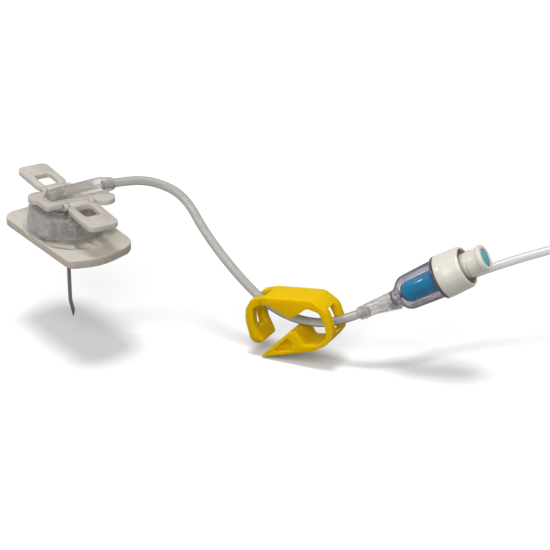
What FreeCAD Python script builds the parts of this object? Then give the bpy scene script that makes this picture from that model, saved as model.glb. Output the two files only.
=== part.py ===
import FreeCAD, Part
import math
import os

# Non-coring port needle set: a bent hollow needle in a clear hub with two folding grip wings, a clear
# shield base on a foam pad that slides down over the needle, a pinch clamp on the line, and a
# Y-piece that carries a needle-free valve and an extension line.
# Frame: origin on the needle's axis at the skin, under the pad; +X the way the line leaves the hub;
# +Y along the pad and the wings; +Z up, out of the skin. Millimetres.

doc = FreeCAD.newDocument("port_needle_set")
Vector = FreeCAD.Vector
X_AXIS = Vector(1, 0, 0)
Y_AXIS = Vector(0, 1, 0)
Z_AXIS = Vector(0, 0, 1)

SIZES = [
    ("pad_length", 35.2), ("pad_width", 18.2), ("pad_thickness", 2.0), ("pad_corner", 4.8),
    ("pad_bulge", 0.5), ("pad_offset", 0.3), ("tip_hole_radius", 1.8),
    ("base_half_width", 8.4), ("base_half_length", 10.2), ("base_shift", 0.8),
    ("plate_half_width", 9.4), ("plate_half_length", 12.2), ("plate_thickness", 1.0),
    ("base_height", 5.0), ("base_draft", 0.6), ("base_wall", 1.0), ("base_edge_round", 0.8),
    ("guide_radius", 2.4), ("guide_clearance", 0.28), ("guide_depth", 1.0), ("guide_relief", 1.6),
    ("rib_thickness", 0.8),
    ("clip_thickness", 0.25), ("clip_width", 3.4), ("clip_back", 3.2), ("clip_front", 2.8),
    ("clip_rise", 2.9), ("clip_gap", 0.3), ("clip_hole_radius", 1.3), ("clip_hole_offset", 0.45),
    ("needle_diameter", 0.9), ("needle_bore", 0.6), ("needle_depth", 20.0), ("needle_tip_length", 4.5),
    ("needle_tip_angle", 12.0), ("needle_bend_radius", 5.0), ("needle_bevel_angle", 24.0),
    ("hub_lift", 9.0), ("hub_back", 4.5), ("hub_reach", 12.0), ("hub_back_radius", 1.7),
    ("hub_front_radius", 2.15), ("hub_nose_radius", 1.5), ("hub_nose_length", 3.0),
    ("hub_boss_radius", 2.3), ("hub_foot_gap", 0.1), ("hub_passage_radius", 0.5),
    ("saddle_thickness", 1.2), ("saddle_half_width", 4.5), ("saddle_back", 7.0), ("saddle_front", 8.4),
    ("saddle_top_drop", 0.2), ("saddle_collar_radius", 3.6), ("saddle_slot_gap", 0.15),
    ("tab_radius", 2.6), ("front_tab_along", 6.9), ("front_tab_across", 5.5),
    ("rear_tab_along", 5.4), ("rear_tab_across", 2.4),
    ("hinge_offset", 5.6), ("hinge_radius", 0.9), ("hinge_pin_radius", 0.45), ("hinge_clearance", 0.03),
    ("hinge_lug_width", 1.1), ("hinge_side_gap", 0.2), ("hinge_eye_half", 2.4),
    ("wing_reach", 18.8), ("wing_half_width", 3.7), ("wing_centre", 0.4), ("wing_neck", 1.2),
    ("wing_corner", 1.6), ("window_half_width", 2.0), ("window_start", 7.4), ("window_end", 13.2),
    ("wing_droop", 4.0),
    ("window_corner", 0.8), ("grip_rib_radius", 0.35), ("grip_rib_pitch", 1.4), ("grip_rib_count", 3),
    ("tube_radius", 1.05), ("tube_socket", 2.5),
    ("clamp_x", 40.0), ("clamp_y", -35.5), ("clamp_z", -16.7), ("clamp_heading", -59.2),
    ("clamp_pitch", 13.8), ("clamp_width", 7.5), ("clamp_wall", 1.5), ("clamp_bend_reach", 10.5),
    ("clamp_latch_reach", 11.2), ("clamp_top", 6.6), ("clamp_bottom", 6.3), ("clamp_tip_reach", 9.1),
    ("clamp_tip_drop", 7.4), ("clamp_split", -0.5), ("clamp_slot_width", 3.4),
    ("clamp_upper_nose", 1.9), ("clamp_lower_nose", 1.45), ("clamp_nose_place", 0.6),
    ("line_x", 49.0), ("line_y", -47.7), ("line_z", -12.4), ("line_heading", -47.4), ("line_pitch", 31.5),
    ("socket_radius", 1.45), ("arm_radius", 1.75), ("arm_length", 9.0), ("line_passage_radius", 0.6),
    ("branch_start", 3.0), ("branch_length", 7.0), ("branch_angle", 39.7), ("branch_roll", -34.8),
    ("branch_radius", 1.5),
    ("valve_cone_end", 12.4), ("valve_cone_radius", 4.0), ("valve_body_end", 21.4),
    ("valve_body_radius", 4.45), ("valve_wall", 0.95), ("valve_spigot_radius", 3.9),
    ("valve_spigot_length", 2.2), ("collar_radius", 5.05), ("collar_length", 6.6), ("collar_draft", 0.3),
    ("neck_radius", 2.95), ("neck_length", 4.8), ("neck_lip", 0.22), ("neck_lip_length", 1.2),
    ("piston_radius", 2.85), ("piston_gap", 0.3), ("piston_round", 1.2), ("piston_bore_radius", 1.05),
    ("septum_radius", 2.05), ("septum_gap", 0.05), ("septum_shoulder", 0.7), ("septum_dome", 0.15),
    ("core_radius", 0.85), ("core_length", 8.4), ("core_flange", 0.4),
    ("connector_neck_radius", 1.6), ("connector_neck_length", 3.4), ("connector_radius", 3.2),
    ("connector_length", 13.5), ("taper_mouth_radius", 2.15), ("taper_depth", 7.9), ("taper_share", 0.03),
]


class Size(float):
    """A length from the sheet that remembers the expression that ties a property to it."""

    def __new__(cls, number, text):
        made = super().__new__(cls, number)
        made.text = text
        return made

    def combined(self, other, sign, number, swapped=False):
        pair = (written(other), self.text) if swapped else (self.text, written(other))
        return Size(number, "(%s %s %s)" % (pair[0], sign, pair[1]))

    def __add__(self, other):
        return self.combined(other, "+", float(self) + float(other))

    def __radd__(self, other):
        return self.combined(other, "+", float(self) + float(other), swapped=True)

    def __sub__(self, other):
        return self.combined(other, "-", float(self) - float(other))

    def __rsub__(self, other):
        return self.combined(other, "-", float(other) - float(self), swapped=True)

    def __mul__(self, other):
        return self.combined(other, "*", float(self) * float(other))

    def __rmul__(self, other):
        return self.combined(other, "*", float(self) * float(other), swapped=True)

    def __truediv__(self, other):
        return self.combined(other, "/", float(self) / float(other))

    def __neg__(self):
        return Size(-float(self), "(0 - %s)" % self.text)


def written(number):
    """The text of a size or a plain number inside an expression."""
    return number.text if isinstance(number, Size) else repr(float(number))


sheet = doc.addObject("Spreadsheet::Sheet", "Sizes")
sizes = {}
for row, (alias, number) in enumerate(SIZES, start=1):
    sheet.set("A%d" % row, alias)
    sheet.set("B%d" % row, str(number))
    sheet.setAlias("B%d" % row, alias)
doc.recompute()
for alias, number in SIZES:
    sizes[alias] = Size(sheet.get(alias), "Sizes." + alias)

pieces = {}


def bind(item, **properties):
    """Tie properties of an object to the sheet."""
    for name, size in properties.items():
        item.setExpression(name, written(size))
    return item


def keep(node, item, placement=None):
    """Name a finished sub-part and put it in its place."""
    item.Label = node
    if placement is not None:
        item.Placement = placement
    pieces[node] = item
    return item


def block(name, low, high):
    """A box between two corners."""
    item = doc.addObject("Part::Box", name)
    bind(item, Length=high[0] - low[0], Width=high[1] - low[1], Height=high[2] - low[2])
    item.Placement.Base = Vector(*low)
    return item


def rod(name, radius, length, base, direction=Z_AXIS):
    """A round bar from a base point along a direction."""
    item = doc.addObject("Part::Cylinder", name)
    bind(item, Radius=radius, Height=length)
    item.Placement = FreeCAD.Placement(Vector(*base), FreeCAD.Rotation(Z_AXIS, direction))
    return item


def joined(name, shapes):
    item = doc.addObject("Part::MultiFuse", name)
    item.Shapes = shapes
    item.Refine = True
    return item


def cut_from(name, base, tools):
    item = doc.addObject("Part::Cut", name)
    item.Base = base
    item.Tool = tools[0] if len(tools) == 1 else joined(name + "_tools", tools)
    item.Refine = True
    return item


def rounded_edges(name, base, radius, wanted):
    """Round the edges of a solid that the test picks."""
    doc.recompute()
    item = doc.addObject("Part::Fillet", name)
    item.Base = base
    item.Edges = [(number, radius, radius) for number, edge in enumerate(base.Shape.Edges, start=1)
                  if wanted(edge)]
    return item


def upright_corner(edge):
    """True for a straight edge along Z."""
    ends = [vertex.Point for vertex in edge.Vertexes]
    return len(ends) == 2 and abs(ends[0].x - ends[1].x) + abs(ends[0].y - ends[1].y) < 1e-6


def sketch_on(body, role, name):
    """An empty sketch on one of a body's own planes."""
    sketch = body.newObject("Sketcher::SketchObject", name)
    plane = next(item for item in body.Origin.OriginFeatures if item.Role == role)
    sketch.AttachmentSupport = (plane, [""])
    sketch.MapMode = "FlatFace"
    return sketch


def pin_corner(sketch, edge, across, along):
    """Hold the first end of a sketch edge at two coordinates from the sheet."""
    import Sketcher
    for kind, size in (("DistanceX", across), ("DistanceY", along)):
        number = sketch.addConstraint(Sketcher.Constraint(kind, -1, 1, edge, 1, float(size)))
        sketch.setExpression("Constraints[%d]" % number, written(size))


def draw_outline(sketch, corners):
    """A closed outline of straight edges whose corners are all held by the sheet."""
    import Sketcher
    points = [Vector(float(across), float(along), 0) for across, along in corners]
    for start, end in zip(points, points[1:] + points[:1]):
        sketch.addGeometry(Part.LineSegment(start, end), False)
    count = len(points)
    for edge in range(count):
        sketch.addConstraint(Sketcher.Constraint("Coincident", edge, 2, (edge + 1) % count, 1))
    for edge, (across, along) in enumerate(corners):
        pin_corner(sketch, edge, across, along)


def turned(name, profile):
    """A body turned about its own X axis from a closed profile of (along, radius) corners."""
    body = doc.addObject("PartDesign::Body", name)
    sketch = sketch_on(body, "XY_Plane", name + "_profile")
    draw_outline(sketch, profile)
    revolution = body.newObject("PartDesign::Revolution", name + "_turned")
    revolution.Profile = sketch
    revolution.ReferenceAxis = (sketch, ["H_Axis"])
    revolution.Angle = 360
    body.Tip = revolution
    return body


def rounded_path(points, radii, closed=False):
    """A wire of straight runs joined by tangent arcs of the given radii."""
    count = len(points)
    corners = range(count) if closed else range(1, count - 1)
    trims = {}
    for index in corners:
        point = points[index]
        before = (points[index - 1] - point).normalize()
        after = (points[(index + 1) % count] - point).normalize()
        half_turn = (math.pi - before.getAngle(after)) / 2
        reach = radii[index] * math.tan(half_turn)
        if reach < 1e-6:
            continue
        inward = (before + after).normalize()
        middle = point + inward * (radii[index] / math.cos(half_turn) - radii[index])
        trims[index] = (point + before * reach, middle, point + after * reach)
    edges = []
    for index in range(count if closed else count - 1):
        follower = (index + 1) % count
        start = trims[index][2] if index in trims else points[index]
        end = trims[follower][0] if follower in trims else points[follower]
        if start.distanceToPoint(end) > 1e-6:
            edges.append(Part.LineSegment(start, end).toShape())
        if follower in trims:
            edges.append(Part.Arc(*trims[follower]).toShape())
    return Part.Wire(Part.__sortEdges__(edges))


def direction(heading, pitch):
    """The unit vector at a heading in plan and a pitch above it, both in degrees."""
    flat = math.cos(math.radians(pitch))
    return Vector(flat * math.cos(math.radians(heading)), flat * math.sin(math.radians(heading)),
                  math.sin(math.radians(pitch)))


def frame_along(base, along):
    """A placement whose X runs along a direction, with Y level."""
    level = Z_AXIS.cross(along).normalize()
    return FreeCAD.Placement(base, FreeCAD.Rotation(along, level, along.cross(level), "XZY"))


def size(alias):
    return sizes[alias]


# Heights that the pieces share
base_bottom = size("pad_thickness")
rim_top = base_bottom + size("plate_thickness")
cover_top = rim_top + size("base_height")
hub_height = base_bottom + size("hub_lift")
hub_foot = cover_top + size("hub_foot_gap")
needle_radius = size("needle_diameter") / 2
saddle_top = hub_height - size("saddle_top_drop")
saddle_bottom = saddle_top - size("saddle_thickness")
hinge_height = saddle_top - size("saddle_thickness") / 2


def foam_pad():
    """Soft pad between the base and the skin: an oblong with bowed ends and a hole for the needle."""
    import Sketcher
    body = doc.addObject("PartDesign::Body", "foam_pad")
    half_width = size("pad_width") / 2
    half_length = size("pad_length") / 2 - size("pad_bulge")
    bulge = size("pad_bulge")
    centre = size("pad_offset")
    corners = [(centre - half_width, half_length), (centre - half_width, -half_length),
               (centre + half_width, -half_length), (centre + half_width, half_length)]
    points = [Vector(float(across), float(along), 0) for across, along in corners]
    sketch = sketch_on(body, "XY_Plane", "pad_outline")
    sketch.addGeometry(Part.LineSegment(points[0], points[1]), False)
    sketch.addGeometry(Part.Arc(points[1], Vector(centre, -half_length - bulge, 0), points[2]), False)
    sketch.addGeometry(Part.LineSegment(points[2], points[3]), False)
    sketch.addGeometry(Part.Arc(points[3], Vector(centre, half_length + bulge, 0), points[0]), False)
    for edge in range(4):
        sketch.addConstraint(Sketcher.Constraint("Coincident", edge, 2, (edge + 1) % 4, 1))
    for edge, (across, along) in enumerate(corners):
        pin_corner(sketch, edge, across, along)
    end_radius = (half_width * half_width + bulge * bulge) / (2 * bulge)
    for edge in (1, 3):
        number = sketch.addConstraint(Sketcher.Constraint("Radius", edge, float(end_radius)))
        sketch.setExpression("Constraints[%d]" % number, end_radius.text)
    slab = body.newObject("PartDesign::Pad", "pad_slab")
    slab.Profile = sketch
    bind(slab, Length=size("pad_thickness"))
    doc.recompute()
    corner = body.newObject("PartDesign::Fillet", "pad_corners")
    corner.Base = (slab, ["Edge%d" % number for number, edge in enumerate(slab.Shape.Edges, start=1)
                          if upright_corner(edge)])
    bind(corner, Radius=size("pad_corner"))
    hole_sketch = sketch_on(body, "XY_Plane", "pad_hole_circle")
    hole_sketch.addGeometry(Part.Circle(Vector(0, 0, 0), Z_AXIS, float(size("tip_hole_radius"))), False)
    hole_sketch.addConstraint(Sketcher.Constraint("Coincident", 0, 3, -1, 1))
    number = hole_sketch.addConstraint(Sketcher.Constraint("Radius", 0, float(size("tip_hole_radius"))))
    hole_sketch.setExpression("Constraints[%d]" % number, size("tip_hole_radius").text)
    hole = body.newObject("PartDesign::Pocket", "pad_hole")
    hole.Profile = hole_sketch
    hole.Type = "ThroughAll"
    hole.Midplane = True
    body.Tip = hole
    keep("foam_pad", body)


def oval(name, half_length, half_width, centre):
    """A level oval, longer along Y."""
    item = doc.addObject("Part::Ellipse", name)
    bind(item, MajorRadius=half_length, MinorRadius=half_width)
    item.Placement = FreeCAD.Placement(Vector(*centre), FreeCAD.Rotation(Z_AXIS, 90))
    return item


def oval_drum(name, half_length, half_width, bottom, top, draft=0.0, shift=0.0):
    """A solid oval drum that narrows upwards by its draft."""
    item = doc.addObject("Part::Loft", name)
    item.Sections = [oval(name + "_foot", half_length, half_width, (0, shift, bottom)),
                     oval(name + "_head", half_length - draft, half_width - draft, (0, shift, top))]
    item.Solid = True
    item.Ruled = True
    return item


def shield_base():
    """Clear base in two mouldings welded at the rim, with the spring clip that catches the tip."""
    half_length = size("base_half_length")
    half_width = size("base_half_width")
    shift = size("base_shift")
    wall = size("base_wall")
    draft = size("base_draft")
    plate = oval_drum("plate_slab", size("plate_half_length"), size("plate_half_width"), base_bottom, rim_top)
    hole = rod("plate_hole", size("tip_hole_radius"), size("plate_thickness"), (0, 0, base_bottom))
    keep("base_plate", cut_from("base_plate", plate, [hole]))

    shell = oval_drum("cover_outside", half_length, half_width, rim_top, cover_top, draft, shift)
    shell = rounded_edges("cover_rounded", shell, size("base_edge_round"),
                          lambda edge: edge.BoundBox.ZMin > cover_top - 1e-3)
    inside = oval_drum("cover_inside", half_length - wall, half_width - wall, rim_top, cover_top - wall,
                       draft, shift)
    hollow = cut_from("cover_shell", shell, [inside])
    guide = rod("guide_boss", size("guide_radius"), size("guide_depth"),
                (0, 0, cover_top - wall - size("guide_depth")))
    half_rib = size("rib_thickness") / 2
    rib_bottom = cover_top - wall - size("guide_depth")
    rib_reach = half_length - wall - draft
    rib = block("cover_rib", (-half_rib, shift - rib_reach, rib_bottom),
                (half_rib, shift + rib_reach, cover_top - wall))
    cross_rib = block("cover_cross_rib", (-(half_width - wall - draft), -half_rib, rib_bottom),
                      (half_width - wall - draft, half_rib, cover_top - wall))
    bore = rod("guide_bore", needle_radius + size("guide_clearance"), wall + size("guide_depth"),
               (0, 0, rib_bottom))
    relief = rod("guide_relief_bore", size("guide_relief"), size("guide_depth"), (0, 0, rib_bottom))
    body = joined("cover_body", [hollow, guide, rib, cross_rib])
    keep("base_cover", cut_from("base_cover", body, [bore, relief]))

    thickness = size("clip_thickness")
    half_clip = size("clip_width") / 2
    foot = rim_top
    head = foot + size("clip_rise")
    back = -size("clip_back")
    strip = joined("clip_strip", [
        block("clip_foot", (back, -half_clip, foot), (size("clip_front"), half_clip, foot + thickness)),
        block("clip_back_leg", (back, -half_clip, foot), (back + thickness, half_clip, head)),
        block("clip_head", (back, -half_clip, head - thickness),
              (-(needle_radius + size("clip_gap")), half_clip, head))])
    opening = rod("clip_hole", size("clip_hole_radius"), thickness, (size("clip_hole_offset"), 0, foot))
    keep("tip_clip", cut_from("tip_clip", strip, [opening]))


def needle():
    """Hollow steel needle, straight through the hub and pad, with its last length bent towards +X."""
    tip_angle = math.radians(size("needle_tip_angle"))
    lean = Vector(math.sin(tip_angle), 0, -math.cos(tip_angle))
    bend = Vector(0, 0, -(size("needle_depth") - size("needle_tip_length")))
    top = Vector(0, 0, hub_height - size("hub_passage_radius"))
    path = rounded_path([top, bend, bend + lean * size("needle_tip_length")],
                        [0, size("needle_bend_radius"), 0])
    rings = [Part.Wire(Part.Circle(top, Z_AXIS, radius).toShape())
             for radius in (needle_radius, size("needle_bore") / 2)]
    outside, inside = [Part.Wire(path).makePipeShell([ring], True, True) for ring in rings]
    tube = outside.cut(inside)
    tip = bend + lean * size("needle_tip_length")
    bevel = math.radians(size("needle_bevel_angle"))
    sideways = Vector(math.cos(tip_angle), 0, math.sin(tip_angle))
    point = tip - sideways * needle_radius
    face_normal = sideways * math.cos(bevel) + lean * math.sin(bevel)
    side = 2 * size("needle_tip_length")
    ground_off = Part.makeBox(side, side, side, Vector(0, -side / 2, -side / 2))
    ground_off.Placement = FreeCAD.Placement(point, FreeCAD.Rotation(X_AXIS, face_normal)).multiply(
        ground_off.Placement)
    item = doc.addObject("Part::Feature", "needle")
    item.Shape = tube.cut(ground_off)
    keep("needle", item)


def needle_hub():
    """Clear hub: a lying barrel that the line is bonded into, and a boss that holds the needle."""
    back, reach = size("hub_back"), size("hub_reach")
    nose = reach - size("hub_nose_length")
    barrel = turned("hub_barrel", [
        (-back, size("hub_back_radius") * 0), (-back, size("hub_back_radius") - 0.4),
        (0.4 - back, size("hub_back_radius")), (nose, size("hub_front_radius")),
        (reach, size("hub_nose_radius")), (reach, size("hub_back_radius") * 0)])
    barrel.Placement.Base = Vector(0, 0, hub_height)
    boss = rod("hub_boss", size("hub_boss_radius"), hub_height - hub_foot, (0, 0, hub_foot))
    socket_start = reach - size("tube_socket")
    socket = rod("hub_socket", size("tube_radius"), size("tube_socket"), (socket_start, 0, hub_height), X_AXIS)
    passage = rod("hub_passage", size("hub_passage_radius"), socket_start, (0, 0, hub_height), X_AXIS)
    seat = rod("hub_needle_seat", needle_radius, hub_height - hub_foot, (0, 0, hub_foot))
    keep("needle_hub", cut_from("needle_hub", joined("hub_solid", [barrel, boss]), [socket, passage, seat]))


def saddle():
    """Frosted carrier that straddles the hub, with finger tabs and the lugs of both wing hinges."""
    half = size("saddle_half_width")
    lug_half = size("hinge_eye_half") + size("hinge_side_gap")
    centre = size("wing_centre")
    plate = block("saddle_plate", (-size("saddle_back"), -half, saddle_bottom),
                  (size("saddle_front"), half, saddle_top))
    plate = rounded_edges("saddle_corners", plate, size("hinge_radius"), upright_corner)
    tabs = [rod("front_tab", size("tab_radius"), size("saddle_thickness"),
                (size("front_tab_along"), -size("front_tab_across"), saddle_bottom)),
            rod("rear_tab", size("tab_radius"), size("saddle_thickness"),
                (-size("rear_tab_along"), size("rear_tab_across"), saddle_bottom))]
    collar = rod("saddle_collar", size("saddle_collar_radius"), saddle_bottom - hub_foot, (0, 0, hub_foot))
    lugs, pin_bores = [], []
    for side, end in ((-1, "front"), (1, "rear")):
        axis_y = side * size("hinge_offset")
        for hand, corner in ((-1, "left"), (1, "right")):
            inner = centre + hand * lug_half
            outer = inner + hand * size("hinge_lug_width")
            low, high = min(inner, outer), max(inner, outer)
            name = "%s_%s_lug" % (end, corner)
            lugs.append(block(name + "_arm", (low, min(axis_y, side * (half - 0.4)), saddle_bottom),
                              (high, max(axis_y, side * (half - 0.4)), saddle_top)))
            lugs.append(rod(name + "_eye", size("hinge_radius"), size("hinge_lug_width"),
                            (low, axis_y, hinge_height), X_AXIS))
        pin_bores.append(rod(end + "_pin_bore", size("hinge_pin_radius"),
                             2 * (lug_half + size("hinge_lug_width")),
                             (centre - lug_half - size("hinge_lug_width"), axis_y, hinge_height), X_AXIS))
    solid = joined("saddle_solid", [plate, collar] + tabs + lugs)
    slot_half = size("hub_front_radius") + size("saddle_slot_gap")
    slot_floor = hub_height - size("hub_front_radius") - size("saddle_slot_gap")
    slot = block("hub_slot", (-(size("hub_back") + size("saddle_slot_gap")), -slot_half, slot_floor),
                 (size("saddle_front") + size("tab_radius") * 2, slot_half, saddle_top))
    boss_hole = rod("boss_hole", size("hub_boss_radius"), saddle_top - hub_foot, (0, 0, hub_foot))
    keep("saddle", cut_from("saddle", solid, [slot, boss_hole] + pin_bores))


def wing(node, side):
    """Frosted grip wing: a windowed plate that folds up on its pin, with a ribbed finger end."""
    centre = size("wing_centre")
    eye = size("hinge_eye_half")
    start = size("hinge_offset") + size("wing_neck")
    reach = size("wing_reach")

    def across(name, inner, outer, half_width, bottom, top):
        low, high = sorted((side * inner, side * outer), key=float)
        return block(node + name, (centre - half_width, low, bottom), (centre + half_width, high, top))

    plate = across("_plate", start, reach, size("wing_half_width"), saddle_bottom, saddle_top)
    plate = rounded_edges(node + "_corners", plate, size("wing_corner"), upright_corner)
    neck = across("_neck", size("hinge_offset"), start + size("wing_corner"), eye, saddle_bottom, saddle_top)
    knuckle = rod(node + "_knuckle", size("hinge_radius"), 2 * eye,
                  (centre - eye, side * size("hinge_offset"), hinge_height), X_AXIS)
    ribs = [rod("%s_rib_%d" % (node, index), size("grip_rib_radius"), size("wing_half_width"),
                (centre - size("wing_half_width") / 2,
                 side * (reach - size("wing_corner") - index * size("grip_rib_pitch")), saddle_top), X_AXIS)
            for index in range(int(size("grip_rib_count")))]
    window = across("_window", size("window_start"), size("window_end"), size("window_half_width"),
                    saddle_bottom, saddle_top)
    window = rounded_edges(node + "_window_corners", window, size("window_corner"), upright_corner)
    bore = rod(node + "_bore", size("hinge_pin_radius") + size("hinge_clearance"), 2 * eye,
               (centre - eye, side * size("hinge_offset"), hinge_height), X_AXIS)
    hinge_line = Vector(0, side * size("hinge_offset"), hinge_height)
    droop = FreeCAD.Rotation(X_AXIS, size("wing_droop"))
    keep(node, cut_from(node, joined(node + "_solid", [plate, neck, knuckle] + ribs), [window, bore]),
         FreeCAD.Placement(hinge_line - droop.multVec(hinge_line), droop))


def hinge_pin(node, side):
    """Pin through both lugs and the wing's knuckle."""
    half = size("hinge_eye_half") + size("hinge_side_gap") + size("hinge_lug_width")
    keep(node, rod(node, size("hinge_pin_radius"), 2 * half,
                   (size("wing_centre") - half, side * size("hinge_offset"), hinge_height), X_AXIS))


# The line from the hub to the Y-piece: it leaves the hub straight, falls in one slack curve and runs
# through the clamp into the Y-piece.
line_axis = direction(size("line_heading"), size("line_pitch"))
line_base = Vector(size("line_x"), size("line_y"), size("line_z"))
line_frame = frame_along(line_base, line_axis)
clamp_axis = direction(size("clamp_heading"), size("clamp_pitch"))
clamp_frame = frame_along(Vector(size("clamp_x"), size("clamp_y"), size("clamp_z")), clamp_axis)
hub_exit = Vector(size("hub_reach"), 0, hub_height)
MAIN_ROUTE = [
    hub_exit - X_AXIS * size("tube_socket"),
    hub_exit + X_AXIS * 4.0,
    Vector(22.1, -2.5, 10.2),
    Vector(27.3, -6.9, 7.0),
    Vector(28.9, -13.6, -0.7),
    Vector(32.0, -22.2, -8.3),
    Vector(35.9, -28.6, -14.3),
    Vector(40.2, -35.5, -16.9),
    line_base - line_axis * 6.4,
    line_base + line_axis * size("tube_socket"),
]
PINCH_CORNER = len(MAIN_ROUTE) - 3

branch_turn = math.radians(size("branch_angle"))
branch_roll = math.radians(size("branch_roll"))
branch_local = Vector(math.cos(branch_turn), math.sin(branch_turn) * math.cos(branch_roll),
                      math.sin(branch_turn) * math.sin(branch_roll))
branch_axis = line_frame.Rotation.multVec(branch_local)
branch_root = line_base + line_axis * size("branch_start")
branch_mouth = branch_root + branch_axis * size("branch_length")
BRANCH_ROUTE = [
    branch_mouth - branch_axis * size("tube_socket"),
    branch_mouth + branch_axis * 4.2,
    Vector(72.9, -53.8, -7.0),
    Vector(84.4, -57.4, -4.0),
    Vector(93.2, -61.1, -1.9),
    Vector(98.2, -63.1, -0.6),
]
RUN_SHARE = 0.45


def bend_radii(name, points):
    """The radius of each bend: as large as the two runs beside it allow."""
    radii = [0.0] * len(points)
    for index in range(1, len(points) - 1):
        before = points[index] - points[index - 1]
        after = points[index + 1] - points[index]
        turn = before.getAngle(after)
        radii[index] = RUN_SHARE * min(before.Length, after.Length) / math.tan(turn / 2)
    print(name, "bend radii", [round(radius, 1) for radius in radii[1:-1]])
    return radii


def tube(node, points, radii):
    """A plain round solid along straight runs and tangent arcs."""
    path = rounded_path(points, radii)
    ring = Part.Wire(Part.Circle(points[0], points[1] - points[0], size("tube_radius")).toShape())
    item = doc.addObject("Part::Feature", node)
    item.Shape = path.makePipeShell([ring], True, True)
    expected = math.pi * size("tube_radius") ** 2 * path.Length
    print(node, "length %.2f, volume %.3f of %.3f" % (path.Length, item.Shape.Volume, expected))
    keep(node, item)


def tubes():
    """The main line in three stretches, the middle one the length that the clamp pinches."""
    radii = bend_radii("main line", MAIN_ROUTE)
    before = (MAIN_ROUTE[PINCH_CORNER - 1] + MAIN_ROUTE[PINCH_CORNER]) / 2
    after = (MAIN_ROUTE[PINCH_CORNER] + MAIN_ROUTE[PINCH_CORNER + 1]) / 2
    tube("tube_main", MAIN_ROUTE[:PINCH_CORNER] + [before], radii[:PINCH_CORNER] + [0])
    tube("tube_pinch", [before, MAIN_ROUTE[PINCH_CORNER], after], [0, radii[PINCH_CORNER], 0])
    tube("tube_tail", [after] + MAIN_ROUTE[PINCH_CORNER + 1:], [0] + radii[PINCH_CORNER + 1:])
    tube("tube_extension", BRANCH_ROUTE, bend_radii("extension line", BRANCH_ROUTE))


def clamp_slab(corners):
    """A slab of the clamp's width from an outline of (along, up, corner radius)."""
    points = [Vector(along, -size("clamp_width") / 2, up) for along, up, _ in corners]
    outline = rounded_path(points, [radius for _, _, radius in corners], closed=True)
    return Part.Face(outline).extrude(Vector(0, size("clamp_width"), 0))


def clamp():
    """One moulded pinch clamp, open: a bowed strip with two noses that face each other, a pointed
    lower jaw and a latch arm. It is parted where it bends when it closes: at the bow and at the
    top of the arm."""
    bow, latch = size("clamp_bend_reach"), -size("clamp_latch_reach")
    top, bottom, wall = size("clamp_top"), -size("clamp_bottom"), size("clamp_wall")
    split, nose = size("clamp_split"), size("clamp_nose_place")
    upper_nose, lower_nose = size("clamp_upper_nose"), -size("clamp_lower_nose")
    arm_joint = top - wall - 0.4
    slot_half = size("clamp_slot_width") / 2

    upper = clamp_slab([
        (bow - wall, split, 0), (bow, split, 0), (bow - 0.5, 3.1, 2.5), (bow - 3.6, top - 0.7, 2.5),
        (latch + 6.2, top + 0.6, 1.2), (latch + 2.6, top + 0.3, 1.2), (latch + 0.7, arm_joint, 0),
        (latch + 0.7 + 1.7, arm_joint, 0), (latch + 3.8, top - wall + 0.1, 0.8),
        (latch + 6.6, top - wall + 0.4, 1.0),
        (nose - 0.5, upper_nose, 0.5), (nose + 1.4, upper_nose + 0.5, 1.2), (bow - 5.2, top - wall - 0.9, 1.6),
        (bow - wall - 0.8, 3.0, 1.4)])
    arm = clamp_slab([
        (latch + 0.7, arm_joint, 0), (latch - 0.1, 2.0, 6.0), (latch + 0.1, -2.8, 2.0),
        (latch + 1.0, -4.5, 0.8), (latch + 2.9, -4.0, 0.4), (latch + 2.4, -2.6, 0.6),
        (latch + 1.7, 0.5, 4.0), (latch + 0.7 + 1.7, arm_joint, 0)])
    jaw = clamp_slab([
        (bow - wall, split, 0), (bow - wall - 0.2, -3.0, 1.6), (bow - 4.4, bottom + wall - 0.2, 1.6),
        (nose + 1.6, bottom + wall - 0.1, 0.8), (nose + 0.4, lower_nose, 0.5), (nose - 1.0, lower_nose, 0.5),
        (-size("clamp_tip_reach"), -size("clamp_tip_drop") + 0.4, 0), (-size("clamp_tip_reach"), -size("clamp_tip_drop"), 0),
        (bow - 6.0, bottom, 3.0), (bow - 2.3, bottom + 1.3, 2.6), (bow, split - 2.4, 2.6), (bow, split, 0)])

    far = 2 * size("clamp_latch_reach")
    bow_slot = Part.makeBox(far, 2 * slot_half, 6.0, Vector(bow - wall - 1.6, -slot_half, split - 2.2))
    arm_slot = Part.makeBox(far, 2 * slot_half, 2 * top + 0.6, Vector(latch + 5.6 - far, -slot_half, -0.6))
    for node, shape in (("clamp_body", upper.cut([bow_slot, arm_slot])), ("clamp_latch", arm.cut(arm_slot)),
                        ("clamp_jaw", jaw.cut(bow_slot))):
        item = doc.addObject("Part::Feature", node)
        item.Shape = shape
        keep(node, item, clamp_frame)


def y_piece():
    """Clear Y-piece: the line's socket, the straight arm into the valve, and the branch."""
    length, passage = size("arm_length"), size("line_passage_radius")
    barrel = turned("y_barrel", [
        (length * 0, length * 0), (length * 0, size("socket_radius")), (size("branch_start") / 2, size("socket_radius")),
        (size("branch_start") * 0.6, size("branch_radius") + 0.1), (length, size("arm_radius")),
        (length, length * 0)])
    root = Vector(size("branch_start"), 0, 0)
    branch = rod("y_branch", size("branch_radius"), size("branch_length"), root, branch_local)
    socket = rod("y_socket", size("tube_radius"), size("tube_socket"), (0, 0, 0), X_AXIS)
    through = rod("y_passage", passage, length, (0, 0, 0), X_AXIS)
    side_way = rod("y_side_passage", passage, size("branch_length"), root, branch_local)
    side_socket = rod("y_side_socket", size("tube_radius"), size("tube_socket"),
                      root + branch_local * (size("branch_length") - size("tube_socket")), branch_local)
    solid = joined("y_solid", [barrel, branch])
    keep("y_piece", cut_from("y_piece", solid, [socket, through, side_way, side_socket]), line_frame)


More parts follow.
